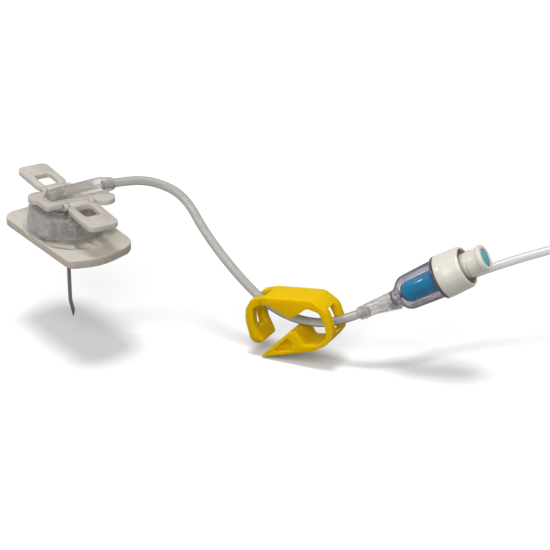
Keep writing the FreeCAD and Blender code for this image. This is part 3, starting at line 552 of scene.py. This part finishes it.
clamp_frame = (Matrix.Translation(CLAMP_PLACE) @ Matrix.Rotation(CLAMP_HEADING, 4, "Z")
               @ Matrix.Rotation(-CLAMP_PITCH, 4, "Y"))
strip = carved(as_mesh(slab(rounded_outline(CLAMP_OUTLINE), CLAMP_HALF_WIDTH)), "DIFFERENCE",
               block(*BOW_SLOT), block(*ARM_SLOT))
for side in (-1, 1):
    pocket = slab(rounded_outline(JAW_POCKET), POCKET_DEPTH)
    pocket.transform(Matrix.Translation((0, side * CLAMP_HALF_WIDTH, 0)))
    strip = carved(strip, "DIFFERENCE", as_mesh(pocket))
for name, operation, nodes, bodies, bend in (
        ("clamp_latch_arm", "INTERSECT", ["clamp_latch"], ("root", "clamp_latch"), ARM_BEND),
        ("clamp_jaws", "DIFFERENCE", ["clamp_body", "clamp_jaw"], ("root", "clamp_jaw"), BOW_BEND)):
    part = carved(strip.copy(), operation, block(*ARM_ZONE))
    if operation == "INTERSECT":
        rounder = slab(rounded_outline(ARM_END), ARM_END_REACH)
        rounder.transform(Matrix.Rotation(math.radians(90), 4, "Z"))
        part = carved(part, "INTERSECT", as_mesh(rounder))
    shape = as_shape(part)
    bmesh.ops.remove_doubles(shape, verts=shape.verts, dist=CLAMP_DOUBLE_POINTS)
    shape.transform(clamp_frame @ TO_METRES)
    piece = put(smooth_moulding(shape, CLAMP_EDGE, 4, CLAMP_FOLD), name, yellow, None,
                nodes)
    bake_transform(piece)

# Y-piece. Clear moulding bonded to the main line, the valve and the extension line, with a thicker
# lip where the main line goes in and the stub of its moulding gate beside it.
LINE_PLACE = Vector((0.0490, -0.0477, -0.0124))
LINE_HEADING = math.radians(-47.4)
LINE_PITCH = math.radians(31.5)
INLET_LIP = [(-0.1, 1.15), (-0.1, 1.35), (0.1, 1.52), (0.8, 1.52), (1.2, 1.38), (1.2, 1.15)]
GATE_STUB = (0.0493, -0.0500, -0.01245)
GATE_STUB_RADIUS = 0.00036
Y_EDGE = 0.0001

TO_MILLIMETRES = Matrix.Scale(1000, 4)

line_frame = (Matrix.Translation(LINE_PLACE) @ Matrix.Rotation(LINE_HEADING, 4, "Z")
              @ Matrix.Rotation(-LINE_PITCH, 4, "Y") @ TO_METRES)


def turned(profile, steps=64):
    """A closed bmesh of an outline of (along, radius) turned round the valve's line, in metres."""
    shape = bmesh.new()
    rings = []
    for along, radius in profile:
        rings.append([shape.verts.new((along, radius * math.cos(2 * math.pi * step / steps),
                                       radius * math.sin(2 * math.pi * step / steps)))
                      for step in range(steps)])
    for index, ring in enumerate(rings):
        follower = rings[(index + 1) % len(rings)]
        for step in range(steps):
            beside = (step + 1) % steps
            shape.faces.new((ring[step], ring[beside], follower[beside], follower[step]))
    bmesh.ops.recalc_face_normals(shape, faces=shape.faces)
    shape.transform(line_frame)
    return shape


y_shape, lip, stub = merged_copy("y_piece"), turned(INLET_LIP), bmesh.new()
bmesh.ops.create_uvsphere(stub, u_segments=16, v_segments=10, radius=GATE_STUB_RADIUS)
stub.transform(Matrix.Translation(GATE_STUB))
for shape in (y_shape, lip, stub):
    shape.transform(TO_MILLIMETRES)
y_shape = as_shape(carved(as_mesh(y_shape), "UNION", as_mesh(lip), as_mesh(stub)))
y_shape.transform(TO_METRES)
put(smooth_moulding(y_shape, Y_EDGE), "clear_y_piece", bonded, "root", ["y_piece"])

# Needle-free valve. A clear flared housing with a hollow spike in it, a domed blue silicone piston
# on the spike, and a white collar whose neck takes a lock fitting and holds the piston's head flush.
# The collar is pressed over the housing's spigot against a thin weld flash.
HOUSING = [
    (9.0, 0.6), (9.0, 1.75), (9.5, 1.84), (10.1, 2.15), (10.8, 2.75), (11.4, 3.35), (11.9, 3.72),
    (12.5, 3.95), (13.4, 4.08), (16.0, 4.2), (21.4, 4.45), (21.4, 3.9), (23.6, 3.9), (23.6, 3.425),
    (14.0, 3.2), (13.0, 3.08), (12.3, 2.85), (11.8, 2.5), (11.4, 2.2), (11.4, 0.6)]
WELD_FLASH = [
    (21.0, 4.5), (21.05, 4.85), (21.25, 5.0), (21.78, 4.98), (21.78, 3.92), (21.42, 3.92), (21.42, 4.5)]
PISTON_FOOT = 11.9
PISTON = [
    (PISTON_FOOT, 1.05), (PISTON_FOOT, 1.4), (12.0, 1.85), (12.25, 2.28), (12.6, 2.6), (13.05, 2.83),
    (13.6, 2.98), (14.4, 3.1), (25.2, 3.3), (25.2, 1.05)]
COLLAR = [
    (21.78, 3.9), (21.78, 4.8), (21.9, 4.98), (22.1, 5.05), (24.2, 5.0), (24.3, 4.95), (27.3, 4.82),
    (27.7, 4.7), (27.95, 4.5), (28.0, 4.35), (27.95, 4.15), (27.7, 4.05), (26.9, 3.95), (26.6, 3.8),
    (26.6, 3.05), (26.9, 2.93), (31.3, 2.93), (31.55, 3.02), (31.75, 3.15), (32.4, 3.17), (32.7, 3.05),
    (32.8, 2.85), (32.8, 2.3), (32.7, 2.1), (26.0, 2.1), (26.0, 3.425), (23.6, 3.425), (23.6, 3.9)]
NECK_THREAD = {"Root Radius": 0.00292, "Lead": 0.0028, "Turns": 0.42, "Starts": 2, "Ridge Radius": 0.00026}
THREAD_START = 28.7
THREAD_TURN = 2.4
VALVE_EDGE = 0.00006
HEAD_EDGE = 0.0001
THREAD_EDGE = 0.00004
SILICONE_CLOUD = 4.55
WIPE_MARK = 1.11
WHITE_CLOUD = 3.33
GROOVE_SHADE_REACH = 0.0016
SPARK_GRAIN = 0.417
FLASH_SHADE_MOTTLE = 1.43

# clear moulded co-polyester: water-clear face on, violet grey to near black towards the edges of its walls,
# partly their thickness seen edge-on and partly painted shade standing in for dark surroundings; the walls
# are thin enough to bend the view little
clear = clear_finish("clear_moulded_copolyester", (
    (0.0, "#FBFBFC"), (0.22, "#EAE8EC"), (0.32, "#B2ACB6"), (0.45, "#8E8792"), (0.55, "#5A515E"),
    (0.7, "#2C2532"), (1.0, "#14101A")),
    veil=(0.22, 0.42, 0.02, 0.94), haze=0.82, streaks=(2.38, 0.1), bending=1.18)

# silicone: soft, waxy, deep blue-green where it is thick
silicone, tree, surface, place = new_finish("blue_silicone_rubber", {
    "Roughness": 0.4, "IOR": 1.41, "Specular IOR Level": 0.06, "Coat Weight": 0.35, "Coat Roughness": 0.09})
depth = add(tree, "ShaderNodeTexNoise", {"Vector": place, "Scale": scale_for(SILICONE_CLOUD),
                                         "Detail": 2.0})
blue = add(tree, "ShaderNodeMix", {0: depth.outputs["Fac"], 6: linear("#00668A"), 7: linear("#007DAB")},
           data_type="RGBA")
tree.links.new(blue.outputs[2], surface.inputs["Base Color"])
bloom = add(tree, "ShaderNodeBump", {"Height": depth.outputs["Fac"], "Strength": 0.1, "Distance": 0.0001})
tree.links.new(bloom.outputs["Normal"], surface.inputs["Normal"])

# the head's dry face is paler: silicone scatters more light where it has been wiped
dry, tree, surface, place = new_finish("wiped_silicone_face", {"Roughness": 0.55, "IOR": 1.41})
lint = add(tree, "ShaderNodeTexNoise", {"Vector": place, "Scale": scale_for(WIPE_MARK), "Detail": 3.0})
teal = add(tree, "ShaderNodeMix", {0: lint.outputs["Fac"], 6: linear("#3F98A6"), 7: linear("#62B0BB")},
           data_type="RGBA")
tree.links.new(teal.outputs[2], surface.inputs["Base Color"])

# white polycarbonate: warm white, satin, faintly uneven, darkened with painted shade in its grooves and
# recesses; the grain of its spark-eroded mould is drawn 0.4 mm wide, for the real one is too fine to show
white, tree, surface, place = new_finish("white_polycarbonate", {"Roughness": 0.25, "IOR": 1.58})
cloud = add(tree, "ShaderNodeTexNoise", {"Vector": place, "Scale": scale_for(WHITE_CLOUD), "Detail": 3.0})
shade = add(tree, "ShaderNodeMix", {0: cloud.outputs["Fac"], 6: linear("#CEC8BD"), 7: linear("#DAD5CA")},
            data_type="RGBA")
# painted shade: ambient occlusion darkens the white towards #5F574D in grooves and recesses
open_air = add(tree, "ShaderNodeAmbientOcclusion", {"Distance": GROOVE_SHADE_REACH}, samples=8)
unshaded = add(tree, "ShaderNodeMapRange", {"Value": open_air.outputs["AO"], "From Min": 0.25,
                                         "From Max": 0.8})
painted_groove_shade = add(tree, "ShaderNodeMix", {0: unshaded.outputs["Result"], 6: linear("#5F574D"), 7: shade.outputs[2]},
           data_type="RGBA")
tree.links.new(painted_groove_shade.outputs[2], surface.inputs["Base Color"])
spark = add(tree, "ShaderNodeTexNoise", {"Vector": place, "Scale": scale_for(SPARK_GRAIN), "Detail": 2.0})
eroded = add(tree, "ShaderNodeBump", {"Height": spark.outputs["Fac"], "Strength": 0.1,
                                      "Distance": 0.00004})
tree.links.new(eroded.outputs["Normal"], surface.inputs["Normal"])

# weld flash: a thin ring of the clear plastic, coloured near-black violet with mottled painted shade for
# the dark shaded line between housing and collar
flash, tree, surface, place = new_finish("weld_flash_painted_shade", {"Roughness": 0.25, "IOR": 1.5})
shade_mottle = add(tree, "ShaderNodeTexNoise", {"Vector": place, "Scale": scale_for(FLASH_SHADE_MOTTLE), "Detail": 2.0})
painted_flash_shade = add(tree, "ShaderNodeMix", {0: shade_mottle.outputs["Fac"], 6: linear("#31252D"), 7: linear("#4F424B")},
             data_type="RGBA")
tree.links.new(painted_flash_shade.outputs[2], surface.inputs["Base Color"])

rule, given, outlet = new_rule("thread_round_a_neck", (
    ("Root Radius", "NodeSocketFloat"), ("Lead", "NodeSocketFloat"), ("Turns", "NodeSocketFloat"),
    ("Starts", "NodeSocketInt"), ("Ridge Radius", "NodeSocketFloat")))
rise = add(rule, "ShaderNodeMath", {0: given["Lead"], 1: given["Turns"]}, operation="MULTIPLY")
helix = add(rule, "GeometryNodeCurveSpiral", {
    "Resolution": 48, "Rotations": given["Turns"], "Start Radius": given["Root Radius"],
    "End Radius": given["Root Radius"], "Height": rise.outputs[0]})
section = add(rule, "GeometryNodeCurvePrimitiveCircle", {"Resolution": 10, "Radius": given["Ridge Radius"]})
ridge = add(rule, "GeometryNodeCurveToMesh", {"Curve": helix.outputs[0],
                                              "Profile Curve": section.outputs[0], "Fill Caps": True})
spots = add(rule, "GeometryNodePoints", {"Count": given["Starts"]})
number = add(rule, "GeometryNodeInputIndex")
share = add(rule, "ShaderNodeMath", {0: number.outputs[0], 1: given["Starts"]}, operation="DIVIDE")
angle = add(rule, "ShaderNodeMath", {0: share.outputs[0], 1: 2 * math.pi}, operation="MULTIPLY")
about = add(rule, "ShaderNodeCombineXYZ", {"Z": angle.outputs[0]})
starts = add(rule, "GeometryNodeInstanceOnPoints", {"Points": spots.outputs[0],
                                                    "Instance": ridge.outputs[0],
                                                    "Rotation": about.outputs[0]})
real = add(rule, "GeometryNodeRealizeInstances", {"Geometry": starts.outputs[0]})
dressed = add(rule, "GeometryNodeSetMaterial", {"Geometry": real.outputs[0], "Material": given["Finish"]})
rule.links.new(dressed.outputs[0], outlet.inputs[0])

for name, profile, finish, slot, nodes in (
        ("valve_clear_housing", HOUSING, clear, "clear_plastic", ["valve_housing"]),
        # the weld flash ring carries painted shade: it is the dark line along the collar's rim
        ("valve_weld_flash", WELD_FLASH, flash, "clear_plastic", []),
        ("valve_white_collar", COLLAR, white, "white_plastic", ["valve_collar"]),
        ("valve_blue_piston", PISTON, silicone, "blue_silicone", ["valve_piston"])):
    put(smooth_moulding(turned(profile), VALVE_EDGE), name, finish, "root", nodes)
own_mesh(bpy.data.objects["valve_blue_piston"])
moulded("valve_core", "valve_spike", VALVE_EDGE, clear, "root")
moulded("valve_septum", "valve_septum_head", HEAD_EDGE, dry, "septum")

# the neck's two short lock threads are made along Z and then laid along the valve's line
threads = as_shape(made_by(rule, {**NECK_THREAD, "Finish": white}))
threads.transform(line_frame @ Matrix.Translation((THREAD_START, 0, 0))
                  @ Matrix.Rotation(THREAD_TURN, 4, "X") @ Matrix.Rotation(math.radians(90), 4, "Y")
                  @ TO_MILLIMETRES)
put(smooth_moulding(threads, THREAD_EDGE), "valve_neck_thread", white, "root")

# End fitting. A clear tapered socket bonded on the far end of the extension line, for a syringe or another
# line.
SOCKET_EDGE = 0.00012

connector = moulded("line_connector", "clear_end_socket", SOCKET_EDGE, clear, "root")

# Studio. A white table under a broad soft lamp overhead, a broader one in front on the left, and a
# weak one far left that lights up the edges. The table is just white where nothing shades it, and
# throws little light back.
TABLE_HEIGHT = -0.0264
TABLE_HALF_SIZE = 4.0
TABLE_LIFT = 0.03
LAMPS = (
    ("overhead", (-0.10, -0.09, 0.90), 18.0, 1.6), ("front", (-0.52, -0.62, 0.60), 40.0, 1.6),
    ("left", (-0.80, 0.30, 0.52), 5.0, 0.45))
FILL = 0.25
AIM = Vector((0.0385, -0.0284, -0.0077))


def seen_by_ray(tree):
    """1 for a ray from the camera, straight or by gloss or clear plastic, and 0 for bounced light."""
    rays = add(tree, "ShaderNodeLightPath").outputs
    seen = add(tree, "ShaderNodeMath", {0: rays["Is Camera Ray"], 1: rays["Is Glossy Ray"]},
               operation="ADD")
    seen = add(tree, "ShaderNodeMath", {0: seen.outputs[0], 1: rays["Is Transmission Ray"]},
               operation="ADD", use_clamp=True)
    return seen.outputs[0]


paper, tree, surface, place = new_finish("white_table_paper", {"Roughness": 0.9, "Specular IOR Level": 0.1})
seen = seen_by_ray(tree)
bounce = add(tree, "ShaderNodeMix", {0: seen, 6: linear("#787878"), 7: linear("#FBFBFB")},
             data_type="RGBA")
tree.links.new(bounce.outputs[2], surface.inputs["Base Color"])
lift = add(tree, "ShaderNodeMath", {0: seen, 1: TABLE_LIFT}, operation="MULTIPLY")
glow = add(tree, "ShaderNodeEmission", {"Color": (1.0, 1.0, 1.0, 1.0), "Strength": lift.outputs[0]})
together = add(tree, "ShaderNodeAddShader", {0: surface.outputs["BSDF"], 1: glow.outputs["Emission"]})
output = next(item for item in tree.nodes if item.type == "OUTPUT_MATERIAL")
tree.links.new(together.outputs["Shader"], output.inputs["Surface"])

shape = bmesh.new()
bmesh.ops.create_grid(shape, x_segments=1, y_segments=1, size=TABLE_HALF_SIZE)
bmesh.ops.translate(shape, verts=shape.verts, vec=(0, 0, TABLE_HEIGHT))
table_mesh = as_mesh(shape)
table_mesh.materials.append(paper)
table = bpy.data.objects.new("table", table_mesh)
bpy.context.scene.collection.objects.link(table)

world = bpy.data.worlds.new("studio")
bpy.context.scene.world = world
world.use_nodes = True
tree = world.node_tree
tree.nodes.clear()
level = add(tree, "ShaderNodeMapRange", {"Value": seen_by_ray(tree), "To Min": FILL, "To Max": 1.0})
air = add(tree, "ShaderNodeBackground", {"Color": (1.0, 1.0, 1.0, 1.0),
                                         "Strength": level.outputs["Result"]})
add(tree, "ShaderNodeOutputWorld", {"Surface": air.outputs["Background"]})

for name, place, spread, power in LAMPS:
    lamp = bpy.data.lights.new(name, "SUN")
    lamp.angle = math.radians(spread)
    lamp.energy = power
    holder = bpy.data.objects.new(name, lamp)
    holder.location = AIM + Vector(place)
    holder.rotation_euler = (AIM - holder.location).to_track_quat("-Z", "Y").to_euler()
    bpy.context.scene.collection.objects.link(holder)

lens = bpy.data.cameras.new("camera")
lens.lens = 128.13
lens.sensor_width = 36.0
lens.clip_start = 0.02
lens.clip_end = 20.0
camera = bpy.data.objects.new("camera", lens)
camera.location = (-0.17988, -0.37517, 0.17815)
camera.rotation_euler = (AIM - camera.location).to_track_quat("-Z", "Y").to_euler()
bpy.context.scene.collection.objects.link(camera)
bpy.context.scene.camera = camera
bpy.context.scene.view_settings.view_transform = "Standard"
